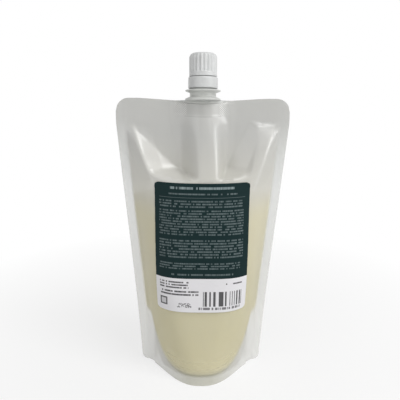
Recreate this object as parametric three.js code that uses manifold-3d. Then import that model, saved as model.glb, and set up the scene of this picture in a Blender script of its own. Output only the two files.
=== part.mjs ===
// A spouted stand-up refill pouch: a heat-sealed film bag full of liquid soap, with a label on its face,
// a moulded spout welded into its top seal, a tamper band on the spout's neck and a screw cap.
// Millimetres, +Z up. The origin is on the ground at the middle of the foot.
// The labelled face looks along -Y.
import * as THREE from 'three';
import { mergeVertices } from 'three/addons/utils/BufferGeometryUtils.js';
import Module from 'manifold-3d';

const wasm = await Module();
wasm.setup();

// Film bag: the sizes of its flat film and of its foot once it is filled
const FLAT_WIDTH = 120;
const POUCH_HEIGHT = 202.4;
const FOOT_WIDTH = 91.5;
const FOOT_DEPTH = 66;
const SIDE_SEAL = 6.2;
const TOP_SEAL = 16.4;
const FLARE_CURVE = 1.25;
const FILM_PLY = 0.2;
const SKIRT_WALL = 0.8;
const TOP_CORNER_RADIUS = 9;
const FOOT_CORNER_RADIUS = 5;
const TOP_EDGE_DIP = 2;
const BELLY_ROUNDNESS = 2.3;
const BELLY_RISE = 1.1;
const BELLY_TAPER = 0.42;
// The paper of the label holds the face flatter about its lower half
const LABEL_FLATNESS = 1.6;
const FLAT_REACH = 45;

// Bottom seal: a U on each face, low in the middle and rising to the folded gusset at the side seals
const GUSSET_HEIGHT = 46;
const FOOT_SEAL = 8;
const FOOT_SEAL_CURVE = 2.6;
const GUSSET_FLAT_HALF = 27;
const GUSSET_EDGE_CURVE = 6;
const GUSSET_REACH = 0.96;
// At the ground the skirt sweeps out of the flat ears in a double curve
const EAR_WIDTH = 8.6;
const EAR_FLAT = 0.8;
const SKIRT_SWEEP = 2.1;

// The slack top of the bag: it leans back, and its film falls in beside the spout
const LEAN_DEG = 8;
const LEAN_START = 115;
const SLACK_START = 150;
const SLACK_DEPTH = 20;
const SLACK_CURVE = 22;
const SHELF_SLOPE = 0.6;
const CREASE_HEIGHT = 3.6;
const CREASE_HALF_WIDTH = 8;
const CREASE_SOFTNESS = 1.6;
const TUBE_TAPER = 3;
const TUBE_PINCH = 4;
const WELD_FADE = 4;
// Each valley and ridge runs from its inner low end to its outer high end.
// Left and right are as seen from the label's side.
const LEFT_VALLEY_INNER = 12;
const LEFT_VALLEY_OUTER = 48;
const LEFT_VALLEY_FOOT = 150;
const LEFT_VALLEY_TOP = 183;
const RIGHT_VALLEY_INNER = 15;
const RIGHT_VALLEY_OUTER = 32;
const RIGHT_VALLEY_FOOT = 150;
const RIGHT_VALLEY_TOP = 186;
const LEFT_RIDGE_INNER = 34;
const LEFT_RIDGE_OUTER = 47;
const LEFT_RIDGE_FOOT = 148;
const LEFT_RIDGE_TOP = 183;
const RIGHT_RIDGE_INNER = 36;
const RIGHT_RIDGE_OUTER = 49;
const RIGHT_RIDGE_FOOT = 143;
const RIGHT_RIDGE_TOP = 183;
const FOLDS_FOOT = 136;

// Label on the face
const LABEL_WIDTH = 67;
const LABEL_HEIGHT = 90;
const LABEL_FOOT = 58;
const LABEL_CORNER_RADIUS = 2.5;
const LABEL_THICKNESS = 0.25;

// Spout: a weld boat, two guide flanges and a neck
const BORE_RADIUS = 5.2;
const BOAT_LENGTH = 36;
const BOAT_DEPTH = 14;
const BOAT_HEIGHT = 9;
const BOAT_TIP = 0.6;
const FLANGE_RADIUS = 12.2;
const FLANGE_THICKNESS = 2.5;
const FLANGE_RIM = 1.4;
const WAIST_RADIUS = 9;
const WAIST_HEIGHT = 2.7;
const COLLAR_RADIUS = 8.3;
const BEAD_RADIUS = 8.9;
const BEAD_HEIGHT = 1.2;
const BEAD_LIFT = 2.6;
const NECK_RADIUS = 6.7;
const NECK_LENGTH = 13.4;
const NECK_STEP = 1;
const STEM_WALL = 1;
const EDGE_BREAK = 0.6;
// Room between the neck and the cap for their screw threads
const THREAD_ROOM = 1.3;

// Tamper band and cap
const BAND_RADIUS = 10.15;
const BAND_HEIGHT = 7.5;
const BAND_WALL = 0.9;
const BAND_LIFT = 0.5;
const BAND_LIP = 2;
const CAP_RADIUS = 9.5;
const CAP_HEIGHT = 15.4;
const CAP_COLLAR_HEIGHT = 2.6;
const CAP_SHOULDER_RADIUS = 3.2;
const CAP_TOP_WALL = 1.6;
const CAP_DISH_DEPTH = 0.5;
const CAP_DISH_RIM = 1;
const RIB_COUNT = 22;
const RIB_DEPTH = 0.6;
const FLUTE_CURVE = 1.4;
const PLUG_WALL = 1;
const PLUG_LENGTH = 2.6;

// Gaps between pieces that touch or run on each other
const SEAT_GAP = 0.3;
const LABEL_GAP = 0.5;
const RUNNING_GAP = 0.4;
const ROUND_STEPS = 32;

const { abs, cos, hypot, max, min, PI, pow, sin, sqrt, tan } = Math;
const clamp = THREE.MathUtils.clamp;
const lerp = THREE.MathUtils.lerp;
const LEAN = THREE.MathUtils.degToRad(LEAN_DEG);

// Manifold solids

function solid(geometry) {
  const bare = geometry.index ? geometry.toNonIndexed() : geometry.clone();
  bare.deleteAttribute('normal');
  bare.deleteAttribute('uv');
  const merged = mergeVertices(bare, 1e-4);
  const { array } = merged.attributes.position;
  return new wasm.Manifold(new wasm.Mesh({
    numProp: 3, vertProperties: array, triVerts: new Uint32Array(merged.index.array),
  }));
}

function node(name, body, material) {
  const { numProp, numVert, vertProperties, triVerts } = body.getMesh();
  const position = new Float32Array(numVert * 3);
  for (let i = 0; i < numVert; i++) {
    position.set(vertProperties.subarray(i * numProp, i * numProp + 3), i * 3);
  }
  const geometry = new THREE.BufferGeometry();
  geometry.setAttribute('position', new THREE.BufferAttribute(position, 3));
  geometry.setIndex(new THREE.BufferAttribute(triVerts, 1));
  geometry.computeVertexNormals();
  const mesh = new THREE.Mesh(geometry, material);
  mesh.name = name;
  return mesh;
}

// A closed solid between two grids of points of the same size, stitched together round their four borders.
function betweenGrids(outer, inner) {
  const rows = outer.length;
  const columns = outer[0].length;
  const position = [...outer.flat(), ...inner.flat()].flat();
  const index = [];
  const out = (i, j) => i * columns + j;
  const inn = (i, j) => rows * columns + i * columns + j;
  const quad = (a, b, c, d) => index.push(a, b, c, a, c, d);
  for (let i = 0; i + 1 < rows; i++) {
    for (let j = 0; j + 1 < columns; j++) {
      quad(out(i, j), out(i, j + 1), out(i + 1, j + 1), out(i + 1, j));
      quad(inn(i, j), inn(i + 1, j), inn(i + 1, j + 1), inn(i, j + 1));
    }
    quad(out(i, 0), out(i + 1, 0), inn(i + 1, 0), inn(i, 0));
    quad(out(i, columns - 1), inn(i, columns - 1), inn(i + 1, columns - 1), out(i + 1, columns - 1));
  }
  for (let j = 0; j + 1 < columns; j++) {
    quad(out(0, j), inn(0, j), inn(0, j + 1), out(0, j + 1));
    quad(out(rows - 1, j), out(rows - 1, j + 1), inn(rows - 1, j + 1), inn(rows - 1, j));
  }
  const geometry = new THREE.BufferGeometry();
  geometry.setAttribute('position', new THREE.Float32BufferAttribute(position, 3));
  geometry.setIndex(index);
  return solid(geometry);
}

const steps = (from, to, count) => Array.from({ length: count + 1 }, (_, i) => lerp(from, to, i / count));

// A lathe turned about +Z from [radius, height] points.
function turned(points) {
  const profile = points.map(([r, z]) => new THREE.Vector2(r, z));
  return solid(new THREE.LatheGeometry(profile, ROUND_STEPS).rotateX(PI / 2));
}

// A flat outline in X and Y, raised along +Z.
function raised(shape, from, to, curveSegments = 12) {
  const options = { depth: to - from, bevelEnabled: false, curveSegments };
  return solid(new THREE.ExtrudeGeometry(shape, options).translate(0, 0, from));
}

// The film bag's surfaces

const sealFoot = POUCH_HEIGHT - TOP_SEAL;
const halfWidth = (z) => lerp(FOOT_WIDTH, FLAT_WIDTH, pow(min(1, z / sealFoot), FLARE_CURVE)) / 2;
// The skirt turns from its sweep at the ground into a plain belly at the top of the gusset.
const aboveSkirt = (z) => THREE.MathUtils.smoothstep(z, 0, GUSSET_HEIGHT);
const bellyHalfWidth = (z) => halfWidth(z) - lerp(EAR_FLAT, SIDE_SEAL, aboveSkirt(z));
const gussetHalfWidth = FOOT_WIDTH / 2 - EAR_WIDTH;
// The middle surface between the two faces leans back above LEAN_START.
const middle = (z) => tan(LEAN) * pow(max(0, z - LEAN_START), 2) / (2 * (POUCH_HEIGHT - LEAN_START));
const softMax = (a, b) => (a + b + sqrt((a - b) ** 2 + CREASE_SOFTNESS ** 2)) / 2;
const softMin = (a, b) => -softMax(-a, -b);

// The valley and the ridge of each side, the left one first, between their low and high ends as [x, z].
const valleys = [
  { from: [LEFT_VALLEY_INNER, LEFT_VALLEY_FOOT], to: [LEFT_VALLEY_OUTER, LEFT_VALLEY_TOP] },
  { from: [RIGHT_VALLEY_INNER, RIGHT_VALLEY_FOOT], to: [RIGHT_VALLEY_OUTER, RIGHT_VALLEY_TOP] },
];
const ridges = [
  { from: [LEFT_RIDGE_INNER, LEFT_RIDGE_FOOT], to: [LEFT_RIDGE_OUTER, LEFT_RIDGE_TOP] },
  { from: [RIGHT_RIDGE_INNER, RIGHT_RIDGE_FOOT], to: [RIGHT_RIDGE_OUTER, RIGHT_RIDGE_TOP] },
];

// How far a point lies below and outside the line from one [x, z] to another.
function beyond({ from, to }, x, z) {
  const run = to[0] - from[0];
  const rise = to[1] - from[1];
  return ((x - from[0]) * rise - (z - from[1]) * run) / hypot(run, rise);
}

// A full belly: deepest at the foot, and none at the foot of the top seal.
function belly(x, z) {
  const depth = FOOT_DEPTH / 2 * pow(max(0, 1 - pow(z / sealFoot, BELLY_RISE)), BELLY_TAPER);
  const fromLabel = (z - LABEL_FOOT - LABEL_HEIGHT / 4) / FLAT_REACH;
  const roundness = BELLY_ROUNDNESS + LABEL_FLATNESS * Math.exp(-(fromLabel ** 2));
  const across = min(1, abs(x) / bellyHalfWidth(z));
  return depth * pow(1 - pow(across, roundness), lerp(SKIRT_SWEEP, 1, aboveSkirt(z)));
}

// A sharp ridge where the film is folded outwards, fading in from its low end.
function ridge(line, x, z) {
  const along = clamp((z - line.from[1]) / (line.to[1] - line.from[1]), 0, 1);
  const off = hypot(beyond(line, x, z), CREASE_SOFTNESS) - CREASE_SOFTNESS;
  return CREASE_HEIGHT * sin(PI * along) * max(0, 1 - off / CREASE_HALF_WIDTH);
}

// The weld boat's outline from above: full in the middle, with its ends drawn out thin.
const bell = (x, half, depth) => depth * pow(max(0, 1 - (x / half) ** 2), 2);

// The tube of film that the weld boat holds open, from the top edge down into the belly.
// Its right side is pinched into a crease further down.
const filmOverTip = BOAT_TIP / 2 + SEAT_GAP + FILM_PLY;
function tube(x, z) {
  const boatFoot = POUCH_HEIGHT - TOP_EDGE_DIP - BOAT_HEIGHT;
  const down = clamp((boatFoot - z) / (boatFoot - SLACK_START), 0, 1);
  const half = BOAT_LENGTH / 2 + filmOverTip - TUBE_TAPER * down;
  const over = filmOverTip * clamp((half - abs(x)) / WELD_FADE + 1, 0, 1);
  const pinch = x > 0 ? down : 0;
  const bulge = pow(max(0, 1 - pow(abs(x) / half, 2 + TUBE_PINCH * pinch)), 2 - pinch);
  return over + bulge * lerp(BOAT_DEPTH / 2, belly(0, SLACK_START), down);
}

// How far the outside of a face stands from the middle surface.
function faceDepth(x, z) {
  const side = x < 0 ? 0 : 1;
  const rising = SLACK_DEPTH * pow(max(0, (sealFoot - z) / (sealFoot - SLACK_START)), SLACK_CURVE);
  const fallen = min(FOOT_DEPTH, rising);
  const shelf = fallen + SHELF_SLOPE * max(0, beyond(valleys[side], abs(x), z));
  const full = belly(x, z);
  const slack = max(0, softMin(full, shelf)) + min(1, full) * ridge(ridges[side], abs(x), z);
  return FILM_PLY + max(slack, tube(x, z), softMax(slack, tube(x, z)) - CREASE_SOFTNESS / 2);
}

const FRONT = -1;
const BACK = 1;
// A point on the outside of a face. The back is slack the other way round.
function onFace(face, x, z, offset = 0) {
  const depth = face === FRONT ? faceDepth(x, z) : faceDepth(-x, z);
  return [x, middle(z) + face * (depth + offset), z];
}

// The height of the bottom seal's inner edge.
function sealHeight(x) {
  return FOOT_SEAL + (GUSSET_HEIGHT - FOOT_SEAL) * pow(min(1, abs(x) / gussetHalfWidth), FOOT_SEAL_CURVE);
}

const heights = [...steps(0, FOLDS_FOOT, 16), ...steps(FOLDS_FOOT, POUCH_HEIGHT + 1, 30).slice(1)];
function bagSolid() {
  const columns = steps(-1, 1, 44);
  const across = (z) => [-halfWidth(z) - 1, ...columns.map((u) => u * bellyHalfWidth(z)), halfWidth(z) + 1];
  const sheet = (face) => heights.map((z) => across(z).map((x) => onFace(face, x, z)));
  return betweenGrids(sheet(FRONT), sheet(BACK));
}

// The bag's outline from the front, with rounded corners and a top edge that dips towards the spout.
function outlineSolid() {
  const top = halfWidth(POUCH_HEIGHT);
  const foot = halfWidth(0);
  const shape = new THREE.Shape();
  shape.moveTo(-foot + FOOT_CORNER_RADIUS, 0);
  shape.lineTo(foot - FOOT_CORNER_RADIUS, 0);
  shape.quadraticCurveTo(foot, 0, halfWidth(FOOT_CORNER_RADIUS), FOOT_CORNER_RADIUS);
  shape.lineTo(halfWidth(POUCH_HEIGHT - TOP_CORNER_RADIUS), POUCH_HEIGHT - TOP_CORNER_RADIUS);
  shape.quadraticCurveTo(top, POUCH_HEIGHT, top - TOP_CORNER_RADIUS, POUCH_HEIGHT);
  const dip = POUCH_HEIGHT - TOP_EDGE_DIP;
  shape.bezierCurveTo(top / 2, POUCH_HEIGHT, BOAT_LENGTH, dip, 0, dip);
  shape.bezierCurveTo(-BOAT_LENGTH, dip, -top / 2, POUCH_HEIGHT, -top + TOP_CORNER_RADIUS, POUCH_HEIGHT);
  shape.quadraticCurveTo(-top, POUCH_HEIGHT, -halfWidth(POUCH_HEIGHT - TOP_CORNER_RADIUS),
    POUCH_HEIGHT - TOP_CORNER_RADIUS);
  shape.lineTo(-halfWidth(FOOT_CORNER_RADIUS), FOOT_CORNER_RADIUS);
  shape.quadraticCurveTo(-foot, 0, -foot + FOOT_CORNER_RADIUS, 0);
  const options = { depth: 2 * FOOT_DEPTH, bevelEnabled: false, curveSegments: 8 };
  return solid(new THREE.ExtrudeGeometry(shape, options).rotateX(PI / 2).translate(0, FOOT_DEPTH, 0));
}

// The hollow under the foot, inside the two skirts.
// The gusset lies flat on the ground in the middle, and rises to the seal at its edges.
function footHollow() {
  const drop = 2;
  const reach = gussetHalfWidth * GUSSET_REACH;
  const places = steps(-reach, reach, 30);
  const levels = heights.filter((z) => z < GUSSET_HEIGHT + FOOT_SEAL);
  const skirt = (face, z, low) => places.map((x) => {
    const [, y] = onFace(face, x, z, -SKIRT_WALL);
    return [x, y, low];
  });
  const sheet = (face) => [skirt(face, 0, -drop), ...levels.map((z) => skirt(face, z, z))];
  const inside = betweenGrids(sheet(FRONT), sheet(BACK));
  const fold = (x) => {
    const out = max(0, abs(x) - GUSSET_FLAT_HALF) / (reach - GUSSET_FLAT_HALF);
    return lerp(-drop / 4, sealHeight(x) - drop, out * out);
  };
  const gusset = (x, q) => {
    const y = q * (faceDepth(x, sealHeight(x)) - SKIRT_WALL / 2);
    return [x, y, lerp(fold(x), sealHeight(x), pow(min(1, abs(q)), GUSSET_EDGE_CURVE))];
  };
  const rows = [-FOOT_DEPTH, ...steps(-1, 1, 10), FOOT_DEPTH];
  const roof = places.map((x) => rows.map((q) => gusset(x, q)));
  const ground = roof.map((column) => column.map(([x, y]) => [x, y, -2 * drop]));
  return inside.intersect(betweenGrids(ground, roof));
}

// The weld boat's outline, grown by a gap.
function boatShape(gap) {
  const half = BOAT_LENGTH / 2 + gap;
  const edge = steps(-half, half, 28).map((x) => [x, bell(x, half, BOAT_DEPTH / 2) + gap]);
  const around = [...edge, ...edge.map(([x, y]) => [-x, -y])];
  return new THREE.Shape(around.map(([x, y]) => new THREE.Vector2(x, y)));
}

// The spout's frame stands on the top edge and leans back with the film.
const spoutFrame = new THREE.Group();
spoutFrame.position.set(0, middle(POUCH_HEIGHT), POUCH_HEIGHT - TOP_EDGE_DIP + SEAT_GAP);
spoutFrame.rotation.x = -LEAN;
spoutFrame.updateMatrixWorld(true);

// The weld boat's pocket in the film, trimmed along the underside of the flange above it.
function pouch() {
  const clear = FLANGE_RADIUS + SEAT_GAP;
  const trim = turned([[0, -SEAT_GAP], [clear, -SEAT_GAP], [clear, TOP_SEAL], [0, TOP_SEAL]]);
  const pocket = raised(boatShape(BOAT_TIP / 2 + SEAT_GAP), -BOAT_HEIGHT - SEAT_GAP, TOP_SEAL).add(trim)
    .transform(spoutFrame.matrixWorld.toArray());
  return bagSolid().intersect(outlineSolid()).subtract(footHollow()).subtract(pocket);
}

// The place across a face that lies a given length along the film from its middle.
function alongFilm(length, z) {
  const pace = 0.25;
  let x = 0;
  for (let gone = 0; gone < abs(length); x += pace) {
    gone += hypot(pace, faceDepth(x + pace, z) - faceDepth(x, z));
  }
  return x * Math.sign(length);
}

function label() {
  const corner = LABEL_CORNER_RADIUS;
  const top = LABEL_FOOT + LABEL_HEIGHT;
  const bends = [0, 0.15, 0.5, 1].map((t) => t * corner);
  const between = steps(LABEL_FOOT + corner, top - corner, 14).slice(1);
  const low = bends.map((t) => LABEL_FOOT + t);
  const high = bends.reverse().slice(1).map((t) => top - t);
  const heights = [...low, ...between, ...high];
  const sheet = (offset) => heights.map((z) => {
    const fromEnd = min(corner, z - LABEL_FOOT, top - z);
    const half = LABEL_WIDTH / 2 - corner + sqrt(max(0, corner ** 2 - (corner - fromEnd) ** 2));
    return steps(-1, 1, 24).map((u) => onFace(FRONT, alongFilm(u * half, z), z, offset));
  });
  return betweenGrids(sheet(LABEL_GAP + LABEL_THICKNESS), sheet(LABEL_GAP));
}

// Spout, band and cap, all in the spout's frame with z = 0 under the lower flange

const waistFoot = FLANGE_THICKNESS;
const upperFlange = waistFoot + WAIST_HEIGHT;
const collarFoot = upperFlange + FLANGE_THICKNESS;
const bandFoot = collarFoot + BAND_LIFT;
const bandTop = bandFoot + BAND_HEIGHT;
const capFoot = bandTop + RUNNING_GAP;
const capTop = capFoot + CAP_HEIGHT;
const neckFoot = bandTop - NECK_STEP;
const mouth = neckFoot + NECK_LENGTH;
const capBore = NECK_RADIUS + THREAD_ROOM;
const bandBore = BAND_RADIUS - BAND_WALL;
const beadFoot = bandFoot + BEAD_LIFT;

function spout() {
  const stem = BORE_RADIUS + STEM_WALL;
  const body = turned([
    [0, -BOAT_HEIGHT], [stem, -BOAT_HEIGHT], [stem, 0], [FLANGE_RADIUS, 0],
    [FLANGE_RADIUS, FLANGE_RIM], [WAIST_RADIUS, waistFoot], [WAIST_RADIUS, upperFlange],
    [FLANGE_RADIUS, collarFoot - FLANGE_RIM], [FLANGE_RADIUS, collarFoot - FLANGE_RIM / 2],
    [COLLAR_RADIUS, collarFoot], [COLLAR_RADIUS, beadFoot], [BEAD_RADIUS, beadFoot],
    [BEAD_RADIUS, beadFoot + BEAD_HEIGHT / 2], [COLLAR_RADIUS, beadFoot + BEAD_HEIGHT],
    [COLLAR_RADIUS, neckFoot], [NECK_RADIUS, bandTop], [NECK_RADIUS, mouth - EDGE_BREAK],
    [NECK_RADIUS - EDGE_BREAK, mouth], [0, mouth],
  ]);
  const boat = raised(boatShape(BOAT_TIP / 2), -BOAT_HEIGHT, 0.5);
  const low = -BOAT_HEIGHT - 1;
  const high = mouth + 1;
  const bore = turned([[0, low], [BORE_RADIUS, low], [BORE_RADIUS, high], [0, high]]);
  return body.add(boat).subtract(bore);
}

function tamperBand() {
  const lip = (COLLAR_RADIUS + BEAD_RADIUS) / 2;
  return turned([
    [lip, bandFoot], [BAND_RADIUS, bandFoot], [BAND_RADIUS, bandTop - EDGE_BREAK],
    [BAND_RADIUS - EDGE_BREAK, bandTop], [bandBore, bandTop], [bandBore, bandFoot + BAND_LIP],
    [lip, beadFoot - RUNNING_GAP], [lip, bandFoot],
  ]);
}

// A ring of round-bottomed flutes leaves the ribs between them.
function ribbedOutline() {
  const shape = new THREE.Shape();
  const points = RIB_COUNT * 4;
  for (let i = 0; i < points; i++) {
    const angle = i / points * 2 * PI;
    const flute = pow(abs(sin(RIB_COUNT * angle / 2)), FLUTE_CURVE);
    const r = CAP_RADIUS - RIB_DEPTH * flute;
    if (i === 0) shape.moveTo(r, 0);
    else shape.lineTo(r * cos(angle), r * sin(angle));
  }
  return shape;
}

function screwCap() {
  const arc = steps(0, PI / 2, 6).map((a) => [
    CAP_RADIUS - CAP_SHOULDER_RADIUS * (1 - cos(a)), capTop - CAP_SHOULDER_RADIUS * (1 - sin(a))]);
  const dish = CAP_RADIUS - CAP_SHOULDER_RADIUS - CAP_DISH_RIM;
  const envelope = turned([[0, capFoot], [CAP_RADIUS, capFoot], ...arc, [dish, capTop],
    [dish - CAP_DISH_RIM, capTop - CAP_DISH_DEPTH], [0, capTop - CAP_DISH_DEPTH]]);
  const ribs = raised(ribbedOutline(), capFoot + CAP_COLLAR_HEIGHT, capTop + 1);
  const collar = turned([[0, capFoot], [CAP_RADIUS, capFoot], [CAP_RADIUS, capFoot + CAP_COLLAR_HEIGHT],
    [0, capFoot + CAP_COLLAR_HEIGHT]]);
  const ceiling = capTop - CAP_DISH_DEPTH - CAP_TOP_WALL;
  const cavity = turned([[0, capFoot - 1], [capBore, capFoot - 1], [capBore, ceiling], [0, ceiling]]);
  const plugRadius = BORE_RADIUS - RUNNING_GAP;
  const plugFoot = mouth - PLUG_LENGTH;
  const plugBore = plugRadius - PLUG_WALL;
  const plugTop = ceiling + CAP_TOP_WALL / 2;
  const plug = turned([
    [plugBore, plugFoot], [plugRadius - EDGE_BREAK, plugFoot], [plugRadius, plugFoot + EDGE_BREAK],
    [plugRadius, plugTop], [plugBore, plugTop], [plugBore, plugFoot],
  ]);
  return ribs.add(collar).intersect(envelope).subtract(cavity).add(plug);
}

const film = new THREE.MeshStandardMaterial({ name: 'film', color: 0xd6d3c4, roughness: 0.45 });
const paper = new THREE.MeshStandardMaterial({ name: 'label_paper', color: 0x1f2e2b, roughness: 0.6 });
const natural = new THREE.MeshStandardMaterial({ name: 'spout_plastic', color: 0xc4c5c1, roughness: 0.4 });
const bandWhite = new THREE.MeshStandardMaterial({ name: 'band_plastic', color: 0xe3e4e2, roughness: 0.4 });
const capWhite = new THREE.MeshStandardMaterial({ name: 'cap_plastic', color: 0xe3e4e2, roughness: 0.4 });

spoutFrame.add(
  node('spout', spout(), natural),
  node('tamper_band', tamperBand(), bandWhite),
  node('screw_cap', screwCap(), capWhite),
);
const pack = new THREE.Group();
pack.name = 'refill_pouch';
pack.add(node('pouch', pouch(), film), node('label', label(), paper), spoutFrame);

export default pack;
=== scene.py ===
"""A frosted stand-up refill pouch with a spout, a tamper band and a screw cap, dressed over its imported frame."""
from math import atan2, ceil, cos, exp, floor, hypot, pi, radians, sin, sqrt, tan

import bpy
from bpy.props import FloatProperty, FloatVectorProperty, IntProperty, PointerProperty
from mathutils import Matrix, Vector, noise


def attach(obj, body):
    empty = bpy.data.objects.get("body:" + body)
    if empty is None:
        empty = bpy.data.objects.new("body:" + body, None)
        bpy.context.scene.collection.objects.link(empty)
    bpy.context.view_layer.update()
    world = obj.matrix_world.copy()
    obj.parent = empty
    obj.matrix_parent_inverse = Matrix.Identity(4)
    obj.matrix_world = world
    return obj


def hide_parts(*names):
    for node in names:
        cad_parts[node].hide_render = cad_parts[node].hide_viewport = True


bl_info = {
    "name": "Refill Pouch",
    "version": (1, 0, 0),
    "blender": (4, 5, 0),
    "location": "View3D > Sidebar > Refill Pouch",
    "description": "Models a filled stand-up pouch with its label, spout, tamper band and screw cap",
    "category": "Object",
}

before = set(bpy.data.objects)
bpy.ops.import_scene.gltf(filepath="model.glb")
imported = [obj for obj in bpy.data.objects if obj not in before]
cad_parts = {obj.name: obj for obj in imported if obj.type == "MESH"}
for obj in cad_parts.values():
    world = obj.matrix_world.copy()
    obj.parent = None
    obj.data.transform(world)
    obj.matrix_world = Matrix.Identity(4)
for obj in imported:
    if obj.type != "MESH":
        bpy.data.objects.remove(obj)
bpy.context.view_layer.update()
MM = 0.001


def length(name, description, millimetres):
    return FloatProperty(name=name, description=description, default=millimetres * MM, unit="LENGTH", precision=5)


def colour(name, description, default):
    return FloatVectorProperty(name=name, description=description, default=default, size=3, min=0, max=1,
                               subtype="COLOR")


def tilt(name, description, degrees):
    return FloatProperty(name=name, description=description, default=radians(degrees), subtype="ANGLE")


class BagProperties(bpy.types.PropertyGroup):
    """Sizes of the film bag and what fills it"""
    flat_width: length("Flat width", "Width of the flat film", 120)
    height: length("Height", "Height of the film's top edge", 202.4)
    foot_width: length("Foot width", "Width between the side edges at the ground", 91.5)
    foot_depth: length("Foot depth", "Depth from face to face at the ground", 66)
    side_seal: length("Side seal", "Width of each side seal", 6.2)
    top_seal: length("Top seal", "Height of the top seal", 16.4)
    level: length("Liquid level", "Height of the liquid's surface", 136)
    film: colour("Film", "Colour of the frosted film", (0.575, 0.575, 0.550))
    seal: colour("Seal", "Colour of the film where it is sealed", (0.72, 0.73, 0.705))
    liquid: colour("Liquid", "Colour of the liquid", (0.73, 0.68, 0.455))


class LabelProperties(bpy.types.PropertyGroup):
    """Sizes and inks of the label"""
    width: length("Width", "Width along the film", 67)
    height: length("Height", "Height of the label", 90)
    foot: length("Foot", "Height of the label's lower edge", 58)
    white_height: length("White height", "Height of the white field", 24.6)
    green: colour("Green", "Dark ground colour", (0.006, 0.020, 0.021))
    white: colour("White", "Paper colour of the foot", (0.82, 0.81, 0.83))
    ink: colour("Ink", "Print on the green", (0.38, 0.46, 0.47))
    black: colour("Black", "Print on the white", (0.012, 0.012, 0.014))


class ClosureProperties(bpy.types.PropertyGroup):
    """Sizes and colours of the spout, band and cap"""
    lean: tilt("Lean", "How far the spout leans back", 8)
    flange_radius: length("Flange radius", "Radius of the guide flanges", 12.2)
    band_radius: length("Band radius", "Radius of the tamper band", 10.15)
    cap_radius: length("Cap radius", "Radius over the cap's ribs", 9.5)
    ribs: IntProperty(name="Ribs", description="Ribs round the cap", default=22, min=3)
    rib_depth: length("Rib depth", "Depth of the flutes between the ribs", 0.6)
    natural: colour("Natural", "Colour of the spout", (0.645, 0.655, 0.63))
    white: colour("White", "Colour of the cap and the band", (0.69, 0.70, 0.695))


class StageProperties(bpy.types.PropertyGroup):
    """Floor, light and camera"""
    distance: length("Distance", "From the camera to the side seals, along the ground", 323.8)
    camera_height: length("Camera height", "Height of the camera", 226.7)
    aside: length("Aside", "How far the camera stands to the left of the middle", 2.2)
    pitch: tilt("Pitch", "How far the camera looks down", 16.4)
    roll: tilt("Roll", "How far the camera is turned about its view", -0.45)
    lens: FloatProperty(name="Lens", description="Focal length in millimetres", default=42.4)
    floor: colour("Floor", "Colour of the floor", (0.93, 0.93, 0.93))


# Places in the object, in millimetres: x across, z up

def clamp(value, low=0.0, high=1.0):
    return max(low, min(high, value))


def mix(a, b, t):
    return a + (b - a) * t


def eased(t):
    return t * t * (3 - 2 * t)


def soft_max(a, b, softness):
    return (a + b + sqrt((a - b) ** 2 + softness ** 2)) / 2


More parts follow.
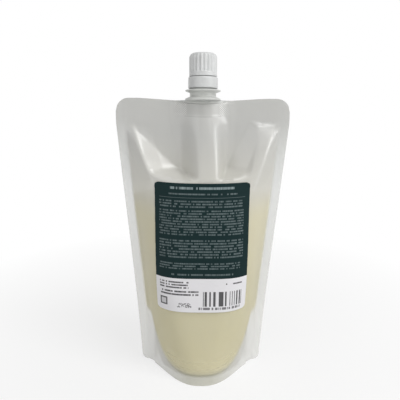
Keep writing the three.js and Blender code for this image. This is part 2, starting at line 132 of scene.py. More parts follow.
class Bag:
    """The film's surfaces, as they stand when the bag is full and its top is slack."""
    ply = 0.2
    edge_curve = 1.25
    top_corner, foot_corner = 9.0, 5.0
    dip, dip_width, dip_curve = 2.0, 1.35, 1.5
    seam = 51 / 58
    # The gusset, its seal to each face and the skirt in front of it
    gusset_rise, gusset_reach, gusset_flat, gusset_curve = 46.0, 0.96, 27.0, 6
    gusset_lift, fold_drop, fold_gap = 0.12, 0.5, 2.0
    ear_width, skirt_seal, skirt_sweep = 8.6, 0.8, 2.1
    foot_seal, foot_seal_curve = 8.0, 5.4
    # The full belly, flattened where the label lies
    belly_rise, belly_taper, belly_roundness = 1.1, 0.42, 2.3
    flatness, flat_middle, flat_reach = 1.6, 80.5, 45.0
    lean_start = 115.0
    # The slack head: valley and ridge lines of the left and the right side, each from (x, z) to (x, z)
    crisp = 0.7
    slack_start, slack_depth, slack_curve, shelf_slope = 150.0, 20.0, 22, 0.6
    valleys = (((12, 150), (48, 183)), ((15, 150), (32, 186)))
    ridges = (((34, 148), (47, 183)), ((36, 143), (49, 183)))
    ridge_height, ridge_reach = 3.6, 8.0
    # The tube that the weld boat holds open
    boat_half, boat_depth, boat_height = 18.0, 7.0, 9.0
    over_tip, tip_fade, tube_taper, tube_pinch = 0.8, 4.0, 3.0, 4.0
    # How softly the seals and the bent folds show; the folds are whitened, partly as film bent white and partly as
    # painted highlight on the bright facet and along the crests
    side_fade, foot_fade, foot_spread = 1.6, 9.0, 0.75
    facet_white, crest_white = (0.5, 0.12), 0.75
    valley_fade, facet_fade, crest_reach = 1.5, 2.0, 1.7
    white_foot, white_rise, white_fall = 138.0, 10.0, 6.0

    def __init__(self, sizes, lean):
        self.flat, self.height = sizes.flat_width / MM, sizes.height / MM
        self.foot, self.depth = sizes.foot_width / MM, sizes.foot_depth / MM
        self.side_seal, self.seal_foot = sizes.side_seal / MM, (sizes.height - sizes.top_seal) / MM
        self.level, self.lean = sizes.level / MM, lean
        self.gusset_half = self.foot / 2 - self.ear_width
        self.tube_depth = self.belly(0, self.slack_start)

    def half(self, z):
        return mix(self.foot, self.flat, clamp(z / self.seal_foot) ** self.edge_curve) / 2

    def above_skirt(self, z):
        return eased(clamp(z / self.gusset_rise))

    def belly_half(self, z):
        return self.half(z) - mix(self.skirt_seal, self.side_seal, self.above_skirt(z))

    def across(self, s, z):
        """The place of a film column, from -1 to 1, so that one column on each side runs down the edge of the seal."""
        out = abs(s)
        belly, half = self.belly_half(z), self.half(z)
        x = belly * out / self.seam if out <= self.seam else mix(belly, half, (out - self.seam) / (1 - self.seam))
        return x if s > 0 else -x

    def middle(self, z):
        return tan(self.lean) * max(0, z - self.lean_start) ** 2 / (2 * (self.height - self.lean_start))

    def belly(self, x, z):
        rise = (max(0, z) / self.seal_foot) ** self.belly_rise
        depth = self.depth / 2 * max(0, 1 - rise) ** self.belly_taper
        flat = exp(-((z - self.flat_middle) / self.flat_reach) ** 2)
        roundness = self.belly_roundness + self.flatness * flat
        sweep = mix(self.skirt_sweep, 1, self.above_skirt(z))
        return depth * (1 - clamp(abs(x) / self.belly_half(z)) ** roundness) ** sweep

    @staticmethod
    def beyond(line, x, z):
        """How far a place lies outside a fold line."""
        (x0, z0), (x1, z1) = line
        return ((x - x0) * (z1 - z0) - (z - z0) * (x1 - x0)) / hypot(x1 - x0, z1 - z0)

    def ridge(self, line, x, z):
        along = clamp((z - line[0][1]) / (line[1][1] - line[0][1]))
        off = hypot(self.beyond(line, x, z), self.crisp) - self.crisp
        return self.ridge_height * sin(pi * along) * max(0, 1 - off / self.ridge_reach)

    def tube(self, x, z):
        boat_foot = self.height - self.dip - self.boat_height
        down = clamp((boat_foot - z) / (boat_foot - self.slack_start))
        half = self.boat_half + self.over_tip - self.tube_taper * down
        over = self.over_tip * clamp((half - abs(x)) / self.tip_fade + 1)
        pinch = down if x > 0 else 0
        bulge = max(0, 1 - (abs(x) / half) ** (2 + self.tube_pinch * pinch)) ** (2 - pinch)
        return over + mix(self.boat_depth, self.tube_depth, down) * bulge

    def face(self, x, z):
        """How far the outside of a face stands from the middle surface."""
        side = 0 if x < 0 else 1
        down = max(0, (self.seal_foot - z) / (self.seal_foot - self.slack_start))
        fallen = min(self.depth, self.slack_depth * down ** self.slack_curve)
        shelf = fallen + self.shelf_slope * max(0, self.beyond(self.valleys[side], abs(x), z))
        full = self.belly(x, z)
        slack = max(0, -soft_max(-full, -shelf, self.crisp))
        slack += min(1, full) * self.ridge(self.ridges[side], abs(x), z)
        tube = self.tube(x, z)
        return self.ply + max(slack, tube, soft_max(slack, tube, self.crisp) - self.crisp / 2)

    def seal_height(self, x):
        """The upper edge of the seal between a face and the gusset."""
        out = clamp(abs(x) / self.gusset_half) ** self.foot_seal_curve
        return self.foot_seal + (self.gusset_rise - self.foot_seal) * out

    def sealed(self, x, z):
        """1 where two films are sealed together, 0 where the bag is open behind the film."""
        side = clamp((abs(x) - self.belly_half(z)) / self.side_fade + 0.5)
        foot = clamp((self.seal_height(x) - z) / self.foot_fade + self.foot_spread)
        return max(side, eased(foot))

    def bent_white_and_highlight(self, x, z):
        """How much the folds of the slack head are whitened, from 0 to 1: partly film bent white, partly a painted
        highlight on the bright left facet and along the crests.
        """
        side = 0 if x < 0 else 1
        inside = self.beyond(self.valleys[side], abs(x), z)
        past = self.beyond(self.ridges[side], abs(x), z)
        facet = self.facet_white[side] * clamp(inside / self.valley_fade) * clamp(1 - past / self.facet_fade)
        crest = self.crest_white * clamp(1 - abs(past) / self.crest_reach)
        low = clamp((z - self.white_foot) / self.white_rise)
        high = clamp((self.seal_foot - z) / self.white_fall)
        return max(facet, crest) * low * high

    def gusset(self, x, across):
        """The height of the bottom film, which lies on the ground in the middle and rises to its seals."""
        reach = self.gusset_half * self.gusset_reach
        out = max(0, abs(x) - self.gusset_flat) / (reach - self.gusset_flat)
        fold = mix(-self.fold_drop, self.seal_height(x) - self.fold_gap, out * out)
        return max(self.gusset_lift, mix(fold, self.seal_height(x), abs(across) ** self.gusset_curve))


def scene_bag():
    scene = bpy.context.scene
    return Bag(scene.pouch_bag, scene.pouch_closure.lean)


# Modelling helpers

SEAT_GAP = 0.3
END = 0.9999


def start_clean():
    if bpy.context.object and bpy.context.object.mode != "OBJECT":
        bpy.ops.object.mode_set(mode="OBJECT")
    bpy.ops.object.select_all(action="DESELECT")


def weld():
    """Merge the seams and poles of the active piece and turn its faces outwards."""
    bpy.ops.object.mode_set(mode="EDIT")
    bpy.ops.mesh.select_all(action="SELECT")
    bpy.ops.mesh.remove_doubles(threshold=2e-6)
    bpy.ops.mesh.dissolve_degenerate(threshold=1e-7)
    bpy.ops.mesh.select_all(action="SELECT")
    bpy.ops.mesh.normals_make_consistent(inside=False)
    bpy.ops.object.mode_set(mode="OBJECT")


def shaped_grid(name, columns, rows, place):
    """A grid whose points are moved to place(u, v), with u and v from 0 to 1, given in millimetres."""
    start_clean()
    bpy.ops.mesh.primitive_grid_add(x_subdivisions=columns, y_subdivisions=rows, size=2, location=(0, 0, 0))
    piece = bpy.context.object
    piece.name = piece.data.name = name
    for vertex in piece.data.vertices:
        u = round((vertex.co.x + 1) / 2 * columns) / columns
        v = round((vertex.co.y + 1) / 2 * rows) / rows
        vertex.co = Vector(place(u, v)) * MM
    return piece


def finish_piece(piece, body, nodes, material, angle=35):
    start_clean()
    piece.select_set(True)
    bpy.context.view_layer.objects.active = piece
    bpy.ops.object.shade_smooth_by_angle(angle=radians(angle))
    piece.data.materials.clear()
    piece.data.materials.append(material)
    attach(piece, body)
    if nodes:
        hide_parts(*nodes)


def dense(profile, pace):
    """The points of a closed profile, with more along its long edges."""
    points = []
    for (r0, z0), (r1, z1) in zip(profile, profile[1:] + profile[:1]):
        count = max(1, ceil(hypot(r1 - r0, z1 - z0) / pace))
        points += [(mix(r0, r1, i / count), mix(z0, z1, i / count)) for i in range(count)]
    return points


def turned(name, profile, segments, carve=None):
    """A closed profile of (radius, height) points spun about the spout's axis, then carved by angle and height."""
    start_clean()
    bpy.ops.mesh.primitive_circle_add(vertices=len(profile), fill_type="NOTHING", location=(0, 0, 0))
    piece = bpy.context.object
    piece.name = piece.data.name = name
    for vertex, (r, z) in zip(piece.data.vertices, profile):
        vertex.co = (r * MM, 0, z * MM)
    bpy.ops.object.mode_set(mode="EDIT")
    bpy.ops.mesh.select_all(action="SELECT")
    bpy.ops.mesh.spin(steps=segments, angle=2 * pi, center=(0, 0, 0), axis=(0, 0, 1))
    bpy.ops.object.mode_set(mode="OBJECT")
    weld()
    if carve:
        for vertex in piece.data.vertices:
            x, y, z = vertex.co / MM
            r = hypot(x, y)
            if r > 0.01:
                ratio = carve(r, atan2(y, x), z) / r
                vertex.co = (x * ratio * MM, y * ratio * MM, z * MM)
    piece.data.transform(spout_place())
    piece.data.update()
    return piece


def spout_place():
    """From the spout's own axis to its place in the top edge of the bag."""
    bag = scene_bag()
    seat = Vector((0, bag.middle(bag.height), bag.height - bag.dip + SEAT_GAP)) * MM
    return Matrix.Translation(seat) @ Matrix.Rotation(-bag.lean, 4, "X")


# Shader helpers

class Value:
    """A node's number output, so that shader maths reads as an expression."""

    def __init__(self, shader, socket):
        self.shader, self.socket = shader, socket

    def _with(self, operation, *others):
        node = self.shader.node("ShaderNodeMath", {"operation": operation}, dict(enumerate((self, *others))))
        return Value(self.shader, node.outputs[0])

    def __add__(self, other):
        return self._with("ADD", other)

    __radd__ = __add__

    def __sub__(self, other):
        return self._with("SUBTRACT", other)

    def __rsub__(self, other):
        return (self * -1) + other

    def __mul__(self, other):
        return self._with("MULTIPLY", other)

    __rmul__ = __mul__

    def __truediv__(self, other):
        return self._with("DIVIDE", other)

    def __gt__(self, other):
        return self._with("GREATER_THAN", other)

    def __lt__(self, other):
        return self._with("LESS_THAN", other)

    def __abs__(self):
        return self._with("ABSOLUTE")

    def floor(self):
        return self._with("FLOOR")

    def sine(self):
        return self._with("SINE")

    def least(self, other):
        return self._with("MINIMUM", other)

    def most(self, other):
        return self._with("MAXIMUM", other)

    def ramp(self, low, high):
        """0 at low and 1 at high, and no further."""
        settings = {"operation": "MULTIPLY", "use_clamp": True}
        node = self.shader.node("ShaderNodeMath", settings, {0: self - low, 1: 1 / (high - low)})
        return Value(self.shader, node.outputs[0])

    def eased(self):
        return self * self * (3 - self * 2)

    def within(self, low, high):
        return (self > low) * (self < high)


class Nodes:
    """A node tree, and the one way to add a node to it."""

    def __init__(self, tree):
        self.tree = tree

    def node(self, kind, settings=None, sockets=None):
        node = self.tree.nodes.new(kind)
        for key, value in (settings or {}).items():
            setattr(node, key, value)
        for key, value in (sockets or {}).items():
            self.feed(node.inputs[key], value)
        return node

    def feed(self, socket, value):
        if isinstance(value, Value):
            self.tree.links.new(value.socket, socket)
        elif isinstance(value, bpy.types.NodeSocket):
            self.tree.links.new(value, socket)
        elif hasattr(value, "__len__") and len(value) == 3 and socket.type == "RGBA":
            socket.default_value = (*value, 1)
        else:
            socket.default_value = value

    def seen(self):
        """1 for a ray that shows the background: from the camera, off a gloss or through a clear piece."""
        path = self.node("ShaderNodeLightPath").outputs
        camera, glossy, passing = (Value(self, path[f"Is {ray} Ray"]) for ray in ("Camera", "Glossy", "Transmission"))
        return camera.most(glossy.most(passing))


class Shader(Nodes):
    """A material with one principled surface."""

    def __init__(self, name, **constants):
        self.material = bpy.data.materials.new(name)
        self.material.use_nodes = True
        super().__init__(self.material.node_tree)
        self.surface = self.tree.nodes["Principled BSDF"]
        for socket, value in constants.items():
            self.set(socket.replace("_", " "), value)

    def set(self, socket, value):
        self.feed(self.surface.inputs[socket], value)

    def place(self):
        """Object coordinates in millimetres, as three values."""
        split = self.node("ShaderNodeSeparateXYZ", None, {0: self.node("ShaderNodeTexCoord").outputs["Object"]})
        return [Value(self, out) * (1 / MM) for out in split.outputs]

    def uv(self):
        """The piece's own map, as two values."""
        split = self.node("ShaderNodeSeparateXYZ", None, {0: self.node("ShaderNodeTexCoord").outputs["UV"]})
        return [Value(self, split.outputs[i]) for i in (0, 1)]

    def attribute(self, name):
        return Value(self, self.node("ShaderNodeAttribute", {"attribute_name": name}).outputs["Fac"])

    def grain(self, scale, detail=2.0):
        sockets = {"Vector": self.node("ShaderNodeTexCoord").outputs["Object"], "Scale": scale, "Detail": detail}
        return Value(self, self.node("ShaderNodeTexNoise", None, sockets).outputs[0])

    def chance(self, x, y):
        """A chance value from 0 to 1 for each pair of whole numbers."""
        place = self.node("ShaderNodeCombineXYZ", None, {0: x, 1: y})
        return Value(self, self.node("ShaderNodeTexWhiteNoise", {"noise_dimensions": "2D"},
                                     {"Vector": place.outputs[0]}).outputs["Value"])

    def blend(self, factor, first, second):
        node = self.node("ShaderNodeMix", {"data_type": "RGBA"}, {"Factor": factor})
        self.feed(node.inputs[6], first)
        self.feed(node.inputs[7], second)
        return node.outputs[2]

    def bump(self, height, strength, distance):
        node = self.node("ShaderNodeBump", None, {"Height": height, "Strength": strength, "Distance": distance})
        self.set("Normal", node.outputs[0])


# Materials

WARM_HEAD = (0.77, 0.75, 0.665)
WETTED = (0.77, 0.725, 0.52)
PALE_SIDE = (0.88, 0.875, 0.835)
YELLOWER_FOOT_MIDDLE = (0.62, 0.61, 0.50)
HAZE = (0.70, 0.70, 0.68)
# Whitening of the head's folds: partly film bent white, partly painted highlight
BENT_WHITE_AND_HIGHLIGHT = (0.85, 0.84, 0.80)
# Painted highlight on the weld's hatch
WELD_WHITE_HIGHLIGHT = (0.95, 0.95, 0.93)
# Painted shade along the boat's foot
BOAT_SHADE = (0.32, 0.32, 0.30)
LIQUID_TOP = (0.72, 0.70, 0.60)


def film_material(bag):
    """Frosted film: clearer over the liquid, hazier in the head and in its seals. Ramps are in millimetres."""
    shader = Shader("frosted_film", Roughness=0.3, IOR=1.55, Coat_Weight=0.45, Coat_Roughness=0.2)
    x, _, z = shader.place()
    out = abs(x)
    seal = shader.attribute("sealed")
    cloud = shader.grain(45, 3)

    # The cross-hatched weld beside the spout, embossed and whitened as a painted highlight on its hatch, and a painted
    # shade line along the boat's foot
    beside = out.ramp(10.5, 12) * (1 - out.ramp(15, 20)) * z.ramp(190.5, 192) * (1 - z.ramp(199, 201))
    hatch = 2.1
    lattice = ((x + z) * hatch).sine() * ((x - z) * hatch).sine()
    weld_emboss_and_highlight = abs(lattice).ramp(0.45, 0.8) * beside
    boat_foot = (out < 12.6) * z.within(190.4, 191.1)

    warm = shader.blend((1 - z.ramp(140, 178)) * 0.8, tuple(bag.film), WARM_HEAD)
    warm = shader.blend(1 - z.ramp(120, 143).eased(), warm, WETTED)
    pale = shader.blend(1 - z.ramp(30, 120), tuple(bag.seal), PALE_SIDE)
    # The seal turns darker and yellower toward the middle of the foot and near the ground
    pale = shader.blend((1 - out.ramp(8, 30)) * (1 - z.ramp(10, 40)), pale, YELLOWER_FOOT_MIDDLE)
    tint = shader.blend(seal * (1 - z.ramp(160, 190)), warm, pale)
    tint = shader.blend(cloud.ramp(0.3, 0.8) * 0.15, tint, HAZE)
    # Painted highlight, partly film bent white: the folds of the head are whitened on the bright facet and along the
    # crests
    tint = shader.blend(shader.attribute("bent_white_and_highlight"), tint, BENT_WHITE_AND_HIGHLIGHT)
    # Painted highlight: the weld's hatch is whitened where its emboss would catch the light
    tint = shader.blend(weld_emboss_and_highlight * 0.9, tint, WELD_WHITE_HIGHLIGHT)
    # Painted shade: a dark line on the film along the boat's foot
    shader.set("Base Color", shader.blend(boat_foot * 0.3, tint, BOAT_SHADE))

    open_bag = 0.28 + z.ramp(-10, 134).eased() * 0.5
    closed = 0.54 - out.ramp(34, 42) * 0.16 + z.ramp(140, 190) * 0.34
    shader.set("Alpha", open_bag + seal * (closed - open_bag))
    fine = shader.grain(900, 2) * 0.25 + shader.grain(140, 3) * 0.75
    shader.bump(fine + weld_emboss_and_highlight * 5, 0.2, 0.5 * MM)
    return shader.material


def liquid_material(bag):
    """Cloudy liquid, a little paler near its surface."""
    shader = Shader("liquid_soap", Roughness=0.55)
    z = shader.place()[2]
    tone = shader.grain(22, 2).ramp(0.25, 0.75) * 0.15
    light = tuple(min(1, c * 1.1 + 0.03) for c in bag.liquid)
    body = shader.blend(tone, tuple(bag.liquid), light)
    shader.set("Base Color", shader.blend(z.ramp(112, 139) * 0.4, body, LIQUID_TOP))
    return shader.material


def label_material(sizes):
    """Matt paper with rows of plain strokes for its print, laid out in millimetres from the middle of its foot."""
    shader = Shader("label_print", Specular_IOR_Level=0.12)
    u, v = shader.uv()
    width, height = sizes.width / MM, sizes.height / MM
    x, up = (u - 0.5) * width, v * height
    letter_width, word_width = 0.36, 1.05

    def rows(left, right, high, low, count, gaps=0.2):
        """A block of print: so many lines between two heights, with a share of their words left out."""
        pitch = (high - low) / count
        line = ((up - low) / pitch).floor()
        inside = (up - low) / pitch - line
        stroke = inside.within(0.22, 0.78)
        letter = shader.chance((x / letter_width).floor(), line + high)
        word = shader.chance((x / word_width).floor(), line + low) > gaps
        return x.within(left, right) * up.within(low, high) * stroke * word * (0.35 + letter * 0.65)

    title = rows(-22, 22, 88.2, 85.4, 1, 0.12) * 2.2 + rows(-24, 24, 83.8, 82.0, 1)
    rule = x.within(-30, 30) * up.within(80.3, 80.6) * 0.7
    text = rows(-30, 28, 79.0, 73.6, 3) + rows(-30, 29, 72.6, 54.8, 10) + rows(-30, 29, 52.4, 39.0, 7)
    closing = rows(-30, 27, 36.2, 31.0, 3) + rows(-21, 22, 28.6, 26.4, 1)
    print_rows = title + rule + text + closing
    foot_rows = rows(-30, -9, 22.8, 17.0, 3, 0.15) + rows(-30, -2, 16.2, 11.8, 2, 0.15)
    foot_rows += rows(17, 29, 21.6, 19.8, 1, 0.1)

    def chequer(width, row, gaps):
        return shader.chance((x / width).floor(), row) > gaps

    bars = x.within(0.8, 29.0) * up.within(4.4, 15.2) * chequer(0.55, 3.0, 0.48)
    digits = x.within(-2, 28.5) * up.within(1.9, 3.7) * chequer(0.6, 9.0, 0.3)
    mark = x.within(-30, -24.2) * up.within(4.2, 10.2)
    hollow = x.within(-29.0, -25.2) * up.within(5.2, 9.2)
    symbols = x.within(-17, -7) * up.within(3.4, 6.8) * chequer(0.7, (up / 0.7).floor(), 0.45)
    dark = (foot_rows * 1.7).most(bars).most(digits * 0.85).most(mark - hollow * 0.75).most(symbols * 0.8)
    on_white = up < sizes.white_height / MM
    fibre = shader.grain(700, 2).ramp(0.3, 0.7)
    green = shader.blend(fibre * 0.25, tuple(sizes.green), tuple(c * 1.7 for c in sizes.green))
    green = shader.blend(print_rows.least(2.0) * 0.36, green, tuple(sizes.ink))
    white = shader.blend(dark.least(1.0) * 0.88, tuple(sizes.white), tuple(sizes.black))
    shader.set("Base Color", shader.blend(on_white, green, white))
    shader.set("Roughness", 0.5 + fibre * 0.12)
    shader.bump(fibre, 0.08, 0.2 * MM)
    return shader.material


def plastic_material(name, tint, shade, roughness, milky):
    """Moulded plastic with a faint cloud, down to a share of its tint, and a fine grain."""
    shader = Shader(name, IOR=1.5, Subsurface_Weight=milky, Subsurface_Scale=2 * MM, Subsurface_Radius=(1, 1, 1))
    cloud = shader.grain(160, 3)
    shader.set("Base Color", shader.blend(cloud.ramp(0.3, 0.7), tuple(tint), tuple(c * shade for c in tint)))
    shader.set("Roughness", roughness + shader.grain(500, 2) * 0.14)
    shader.bump(shader.grain(2200, 2) * 0.6 + cloud * 0.4, 0.12, 0.15 * MM)
    return shader.material


# Pieces

class MakeFilm(bpy.types.Operator):
    """Shape the film bag: two faces, their seals and the gusset under the foot"""
    bl_idname = "refill_pouch.film"
    bl_label = "Film bag"

    def execute(self, context):
        bag = scene_bag()
        columns, tall, under = 116, 150, 36
        rows = 2 * tall + under
        reach = bag.gusset_half * bag.gusset_reach
        ripple, ripple_width, ripple_height, ripple_top = 0.35, 16, 24, 184
        fold_in, level_part, touch = 0.5, 0.7, 1e-6

        def corner(edge, radius):
            """How far a rounded corner draws the outline back at a distance from its side edge."""
            return radius - sqrt(max(0, radius ** 2 - max(0, radius - edge) ** 2))

        def column(s, t):
            """A point t down the column s, with the outline's rounded corners and dipped top edge."""
            top = bag.half(bag.height) - abs(bag.across(s, bag.height))
            low = bag.half(0) - abs(bag.across(s, 0))
            dip = bag.dip * max(0, 1 - (s * bag.dip_width) ** 2) ** bag.dip_curve
            z = mix(bag.height - dip - corner(top, bag.top_corner), corner(low, bag.foot_corner), t)
            return bag.across(s, z), z

        def place(u, v):
            s = 2 * u - 1
            j = round(v * rows)
            if tall < j < tall + under:
                return foot(s, (j - tall) / under * 2 - 1)
            face = -1 if j <= tall else 1
            t = j / tall if face < 0 else (rows - j) / tall
            x, z = column(s, t)
            rim = abs(s) > END or t < touch or (t > 1 - touch and abs(x) > reach)
            wave = ripple * noise.noise((x / ripple_width, z / ripple_height, face * 9)) * (1 - bag.sealed(x, z))
            depth = 0 if rim else bag.face(x if face < 0 else -x, z) + (wave if z < ripple_top else 0)
            return x, bag.middle(z) + face * depth, z

        def foot(s, q):
            """From the front's lower edge up inside its skirt, over the gusset and down inside the back's."""
            x, z = column(s, 1)
            if abs(x) > reach:
                return x, 0, z
            if abs(q) > level_part:
                height = bag.seal_height(x) * (1 - abs(q)) / (1 - level_part)
                return x, (1 if q > 0 else -1) * (bag.face(x, height) - fold_in), height
            across = q / level_part
            y = across * (bag.face(x, bag.seal_height(x)) - fold_in)
            return x, y, bag.gusset(x, across)

        piece = shaped_grid("pouch_film", columns, rows, place)
        weld()
        # The second attribute whitens the head's folds: partly film bent white, partly painted highlight
        for name, amount in (("sealed", bag.sealed), ("bent_white_and_highlight", bag.bent_white_and_highlight)):
            layer = piece.data.attributes.new(name, "FLOAT", "POINT")
            for vertex, item in zip(piece.data.vertices, layer.data):
                item.value = amount(vertex.co.x / MM, vertex.co.z / MM)
        finish_piece(piece, "pouch_body", ["pouch"], film_material(context.scene.pouch_bag), 60)
        return {"FINISHED"}


class MakeLiquid(bpy.types.Operator):
    """Fill the bag with liquid up to its level"""
    bl_idname = "refill_pouch.liquid"
    bl_label = "Liquid"

    def execute(self, context):
        bag = scene_bag()
        gap, columns, tall, under, over, tries = 0.7, 90, 110, 20, 12, 12
        front, floor_end, back = tall, tall + under, 2 * tall + under
        rows = back + over

        def inside(s, *faces):
            """The room behind the film, to its nearest face, and none at the liquid's side edges."""
            return max(0, min(faces) - gap) * (abs(s) < END)

        def lowest(s):
            """The height of the liquid's lower edge in a column, just above the foot seal."""
            low = bag.seal_height(0)
            for _ in range(tries):
                low = bag.seal_height(s * (bag.belly_half(low) - gap)) + gap
            return low

        def place(u, v):
            """Down the front, under to the back, up the back and over the surface."""
            s, j = 2 * u - 1, round(v * rows)
            low = lowest(s)
            if j > back:
                x, z = s * (bag.belly_half(bag.level) - gap), bag.level
                near, far = inside(s, bag.face(x, z)), inside(s, bag.face(-x, z))
                return x, bag.middle(z) + mix(far, -near, (j - back) / over), z
            if front < j < floor_end:
                x, across = s * (bag.belly_half(low) - gap), (j - front) / under * 2 - 1
                z = min(low, bag.gusset(x, across) + gap)
                return x, across * inside(s, bag.face(x, low), bag.face(x, z)), z
            face = -1 if j <= front else 1
            z = mix(bag.level, low, j / tall if face < 0 else (back - j) / tall)
            x = s * (bag.belly_half(z) - gap)
            return x, bag.middle(z) + face * inside(s, bag.face(x if face < 0 else -x, z)), z

        piece = shaped_grid("liquid_soap", columns, rows, place)
        weld()
        finish_piece(piece, "pouch_body", [], liquid_material(context.scene.pouch_bag), 50)
        return {"FINISHED"}


class MakeLabel(bpy.types.Operator):
    """Lay the label on the front face"""
    bl_idname = "refill_pouch.label"
    bl_label = "Label"

    def execute(self, context):
        bag, sizes = scene_bag(), context.scene.pouch_label
        width, height, foot = sizes.width / MM, sizes.height / MM, sizes.foot / MM
        columns, rows, corner, stand, thickness = 72, 92, 2.5, 0.75, 0.25
        step, pace = 0.5, 0.1

        def across(z):
            """Places across the film at each step along it."""
            gone, x, found = 0.0, 0.0, [0.0]
            while len(found) < width:
                gone += hypot(pace, bag.face(x + pace, z) - bag.face(x, z))
                x += pace
                while gone >= len(found) * step:
                    found.append(x)
            return found

        cache = {}

        def along(u, v):
            """A place on the flat label, with its rounded corners."""
            up = v * height
            end = min(corner, up, height - up)
            half = width / 2 - corner + sqrt(max(0, corner ** 2 - (corner - end) ** 2))
            return (2 * u - 1) * half, up

        def place(u, v):
            arc, up = along(u, v)
            z = foot + up
            if v not in cache:
                cache[v] = across(z)
            steps = abs(arc) / step
            base = min(int(floor(steps)), len(cache[v]) - 2)
            x = mix(cache[v][base], cache[v][base + 1], steps - base) * (1 if arc > 0 else -1)
            return x, bag.middle(z) - bag.face(x, z) - stand, z

        piece = shaped_grid("pouch_label", columns, rows, place)
        for item in piece.data.uv_layers.active.data:
            arc, up = along(*item.uv)
            item.uv = (arc / width + 0.5, up / height)
        weld()
        wall = piece.modifiers.new("paper", "SOLIDIFY")
        wall.thickness, wall.offset = thickness * MM, -1
        bpy.ops.object.modifier_apply(modifier=wall.name)
        finish_piece(piece, "pouch_body", ["label"], label_material(sizes), 30)
        return {"FINISHED"}


# Heights along the spout's axis, from under its lower flange

FLANGE, RIM, WAIST = 2.5, 1.4, 2.7
COLLAR_FOOT = 2 * FLANGE + WAIST
BAND_FOOT = COLLAR_FOOT + 0.5
BAND_TOP = BAND_FOOT + 7.5
CAP_FOOT = BAND_TOP + 0.4
CAP_TOP = CAP_FOOT + 15.4
NECK_FOOT = BAND_TOP - 1
MOUTH = NECK_FOOT + 13.4
BEAD_FOOT = BAND_FOOT + 2.6

# Radii about it

BORE, NECK, CREST = 5.2, 6.7, 7.6
WAIST_RADIUS, COLLAR_RADIUS, BEAD_RADIUS = 9.0, 8.3, 8.9

# The thread

PITCH = 3.5
THREAD_FOOT = CAP_FOOT + PITCH * 0.75
THREAD_TURNS = 1.75
THREAD_HALF, THREAD_FLANK, THREAD_RUNOUT = 0.65, 0.3, 8


def thread_height(angle, z, foot, turns):
    """How much of a thread's ridge stands at an angle and height: 0 off it, 1 on its crest."""
    turn = angle / (2 * pi) % 1
    best = 0.0
    for whole in range(-1, 3):
        along = turn + whole
        off = abs(z - foot - along * PITCH)
        fade = clamp(min(along, turns - along) * THREAD_RUNOUT)
        best = max(best, fade * clamp((THREAD_HALF - off) / THREAD_FLANK))
    return best


class MakeSpout(bpy.types.Operator):
    """Turn the spout and carve its thread"""
    bl_idname = "refill_pouch.spout"
    bl_label = "Spout"

    def execute(self, context):
        sizes = context.scene.pouch_closure
        flange, wall, foot = sizes.flange_radius / MM, BORE + 1.5, -9
        waist_top = FLANGE + WAIST
        profile = [
            (BORE, foot), (wall - 0.2, foot), (wall, foot + 0.2), (wall, 0),
            (flange - 0.3, 0), (flange, 0.3), (flange, RIM - 0.2), (flange - 0.25, RIM),
            (WAIST_RADIUS + 0.4, FLANGE - 0.1), (WAIST_RADIUS, FLANGE + 0.3),
            (WAIST_RADIUS, waist_top - 0.3), (WAIST_RADIUS + 0.4, waist_top + 0.1),
            (flange - 0.25, COLLAR_FOOT - RIM), (flange, COLLAR_FOOT - RIM + 0.2),
            (flange, COLLAR_FOOT - 0.9), (flange - 0.3, COLLAR_FOOT - 0.65),
            (COLLAR_RADIUS + 0.4, COLLAR_FOOT), (COLLAR_RADIUS, COLLAR_FOOT + 0.3), (COLLAR_RADIUS, BEAD_FOOT),
            (BEAD_RADIUS - 0.1, BEAD_FOOT), (BEAD_RADIUS, BEAD_FOOT + 0.15), (BEAD_RADIUS, BEAD_FOOT + 0.6),
            (COLLAR_RADIUS, BEAD_FOOT + 1.2), (COLLAR_RADIUS, NECK_FOOT),
            (NECK, NECK_FOOT + 1), (NECK, MOUTH - 0.6), (NECK - 0.6, MOUTH), (BORE, MOUTH)]

        def carve(r, angle, z):
            if z > NECK_FOOT + 0.8 and r > NECK - 0.1:
                return r + (CREST - NECK) * thread_height(angle, z, THREAD_FOOT, THREAD_TURNS)
            return r

        piece = turned("pouch_spout", dense(profile, 0.3), 96, carve)
        boat = self.boat()
        start_clean()
        boat.select_set(True)
        piece.select_set(True)
        context.view_layer.objects.active = piece
        bpy.ops.object.join()
        natural = plastic_material("natural_plastic", sizes.natural, shade=0.93, roughness=0.32, milky=0.25)
        finish_piece(piece, "pouch_body", ["spout"], natural)
        return {"FINISHED"}

    def boat(self):
        """The weld boat round the bore, with thin drawn-out ends and welding ribs along its sides."""
        bag = scene_bag()
        columns, rows = 64, 56
        half, tip, top = bag.boat_half + 0.3, 0.3, 0.2
        ribs, rib_depth = 7, 0.25

        def place(u, v):
            turn = v * 2 * pi
            side = 0 if abs(sin(turn)) <= 1e-6 else 1 if sin(turn) > 0 else -1
            x = -half * cos(turn)
            edge = bag.boat_depth * max(0, 1 - (x / half) ** 2) ** 2 + tip
            ribbed = abs(x) < half - 1 and edge > 1
            groove = rib_depth * max(0, sin(u * pi * ribs)) if ribbed else 0
            return x, side * (edge - groove), mix(-bag.boat_height, top, u)

        piece = shaped_grid("weld_boat", columns, rows, place)
        weld()
        piece.data.transform(spout_place())
        return piece


class MakeBand(bpy.types.Operator):
    """Turn the tamper band"""
    bl_idname = "refill_pouch.band"
    bl_label = "Tamper band"

    def execute(self, context):
        sizes = context.scene.pouch_closure
        outer = sizes.band_radius / MM
        inner, lip = outer - 0.9, 8.6
        profile = [
            (lip, BAND_FOOT), (outer - 0.25, BAND_FOOT), (outer - 0.07, BAND_FOOT + 0.07),
            (outer, BAND_FOOT + 0.25), (outer, BAND_TOP - 0.7), (outer - 0.12, BAND_TOP - 0.4),
            (outer - 0.45, BAND_TOP - 0.06), (outer - 0.6, BAND_TOP), (inner, BAND_TOP),
            (inner, BAND_FOOT + 2), (lip, BEAD_FOOT - 0.4)]
        piece = turned("pouch_band", dense(profile, 0.8), 128)
        white = plastic_material("band_white", sizes.white, shade=0.87, roughness=0.32, milky=0.12)
        finish_piece(piece, "band", ["tamper_band"], white)
        return {"FINISHED"}


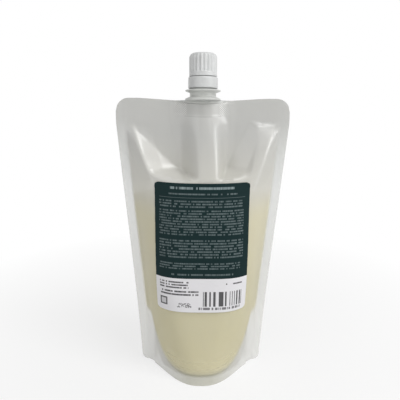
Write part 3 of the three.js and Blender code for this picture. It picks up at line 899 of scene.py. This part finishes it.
class MakeCap(bpy.types.Operator):
    """Turn the screw cap, flute its side and cut its inner thread"""
    bl_idname = "refill_pouch.cap"
    bl_label = "Screw cap"

    def execute(self, context):
        sizes = context.scene.pouch_closure
        outer, ribs, rib_depth = sizes.cap_radius / MM, sizes.ribs, sizes.rib_depth / MM
        shoulder, bends, collar, bore, clearance = 3.2, 10, 2.6, CREST + 0.4, 0.4
        dish, dish_depth = outer - shoulder - 1, 0.5
        ceiling, plug, plug_foot = CAP_TOP - dish_depth - 1.6, BORE - 0.4, MOUTH - 2.6
        arc = [(outer - shoulder * (1 - cos(a)), CAP_TOP - shoulder * (1 - sin(a)))
               for a in (i * pi / 2 / bends for i in range(bends + 1))]
        profile = [
            (0, ceiling), (plug - 1, ceiling), (plug - 1, plug_foot), (plug - 0.5, plug_foot),
            (plug, plug_foot + 0.6), (plug, ceiling), (bore, ceiling), (bore, CAP_FOOT),
            (outer - 0.2, CAP_FOOT), (outer, CAP_FOOT + 0.2), (outer, CAP_FOOT + collar - 0.1),
            (outer - 0.02, CAP_FOOT + collar + 0.1), *arc, (dish, CAP_TOP), (dish - 0.4, CAP_TOP - 0.12),
            (dish - 1, CAP_TOP - dish_depth), (0, CAP_TOP - dish_depth)]
        flute_curve, flute_start, flute_end, flute_top = 1.4, 0.5, 1.6, CAP_TOP - 0.6

        def carve(r, angle, z):
            if r > bore + 0.35:
                begin = clamp((z - CAP_FOOT - collar) / flute_start)
                end = clamp((flute_top - z) / flute_end)
                return r - rib_depth * abs(sin(ribs * angle / 2)) ** flute_curve * begin * end
            if abs(r - bore) < 0.05 and CAP_FOOT + 0.5 < z < ceiling - 0.2:
                ridge = thread_height(angle, z, THREAD_FOOT + PITCH / 2, THREAD_TURNS - 0.5)
                return r - (bore - NECK - clearance) * ridge
            return r

        piece = turned("pouch_cap", dense(profile, 0.35), ribs * 12, carve)
        white = plastic_material("cap_white", sizes.white, shade=0.96, roughness=0.30, milky=0.12)
        finish_piece(piece, "cap", ["screw_cap"], white, 28)
        return {"FINISHED"}


# Name, place in metres, size in metres and power in watts

LAMPS = (("key", (0.95, -0.48, 0.50), 0.4, 3.1), ("fill", (-0.9, -0.9, 0.5), 0.9, 3.0),
         ("top", (0.50, -0.40, 1.05), 0.5, 5.0))
LAMP_AIM = (0, 0, 0.12)
ROOM_LIGHT = 0.32


class MakeStage(bpy.types.Operator):
    """Set the floor, the soft light and the camera"""
    bl_idname = "refill_pouch.stage"
    bl_label = "Stage"

    def execute(self, context):
        scene, sizes = context.scene, context.scene.pouch_stage
        scene.view_settings.view_transform = "Standard"
        start_clean()
        bpy.ops.mesh.primitive_plane_add(size=12, location=(0, 0, 0))
        ground = context.object
        ground.name = ground.data.name = "floor"
        ground.data.materials.append(self.pale_floor(tuple(sizes.floor)))
        self.world(scene)
        for lamp in LAMPS:
            self.lamp(*lamp)
        data = bpy.data.cameras.new("view")
        data.lens, data.sensor_width = sizes.lens, 36
        camera = bpy.data.objects.new("view", data)
        scene.collection.objects.link(camera)
        camera.location = (-sizes.aside, -sizes.distance, sizes.camera_height)
        camera.rotation_euler = (pi / 2 - sizes.pitch, sizes.roll, 0)
        scene.camera = camera
        return {"FINISHED"}

    def pale_floor(self, tint):
        """A floor that fades to white away from the pouch, and keeps its shadow near it."""
        shader = Shader("pale_floor", Roughness=0.9, Specular_IOR_Level=0.1)
        shader.set("Base Color", shader.blend(shader.grain(4) * 0.1, tint, tuple(c * 0.99 for c in tint)))
        x, y, _ = shader.place()
        near, far, least_white = 70, 300, 0.73
        cover = (x * x + y * y).ramp(near ** 2, far ** 2) * (1 - least_white) + least_white
        white = shader.node("ShaderNodeEmission", None, {"Color": (1, 1, 1), "Strength": 1.0})
        sockets = {0: cover.least(1.0) * shader.seen(), 1: shader.surface.outputs[0], 2: white.outputs[0]}
        surface = shader.node("ShaderNodeMixShader", None, sockets).outputs[0]
        shader.feed(shader.tree.nodes["Material Output"].inputs["Surface"], surface)
        return shader.material

    def world(self, scene):
        """A soft room that shows as white and lights the pouch at a lower level."""
        world = scene.world = bpy.data.worlds.new("soft_room")
        world.use_nodes = True
        room = Nodes(world.node_tree)
        background = room.tree.nodes["Background"]
        room.feed(background.inputs["Color"], (1, 1, 1))
        room.feed(background.inputs["Strength"], room.seen() * (1 - ROOM_LIGHT) + ROOM_LIGHT)

    def lamp(self, name, place, size, power):
        data = bpy.data.lights.new(name, "AREA")
        data.size, data.energy = size, power
        lamp = bpy.data.objects.new(name, data)
        bpy.context.scene.collection.objects.link(lamp)
        lamp.location = place
        lamp.rotation_euler = (Vector(LAMP_AIM) - Vector(place)).to_track_quat("-Z", "Y").to_euler()


class PouchPanel(bpy.types.Panel):
    """The pouch's pieces and sizes in the sidebar"""
    bl_idname = "VIEW3D_PT_refill_pouch"
    bl_label = "Refill Pouch"
    bl_space_type = "VIEW_3D"
    bl_region_type = "UI"
    bl_category = "Refill Pouch"

    def draw(self, context):
        for operator in OPERATORS:
            self.layout.operator(operator.bl_idname)
        for group in GROUPS:
            settings = getattr(context.scene, group)
            for name in settings.__annotations__:
                self.layout.prop(settings, name)


OPERATORS = (MakeFilm, MakeLiquid, MakeLabel, MakeSpout, MakeBand, MakeCap, MakeStage)
GROUPS = {"pouch_bag": BagProperties, "pouch_label": LabelProperties, "pouch_closure": ClosureProperties,
          "pouch_stage": StageProperties}


def register():
    for cls in (*GROUPS.values(), *OPERATORS, PouchPanel):
        bpy.utils.register_class(cls)
    for name, cls in GROUPS.items():
        setattr(bpy.types.Scene, name, PointerProperty(type=cls))


def unregister():
    for name in GROUPS:
        delattr(bpy.types.Scene, name)
    for cls in reversed((*GROUPS.values(), *OPERATORS, PouchPanel)):
        bpy.utils.unregister_class(cls)


def main():
    register()
    for make in ("film", "liquid", "label", "spout", "band", "cap", "stage"):
        getattr(bpy.ops.refill_pouch, make)()


if __name__ == "__main__":
    main()
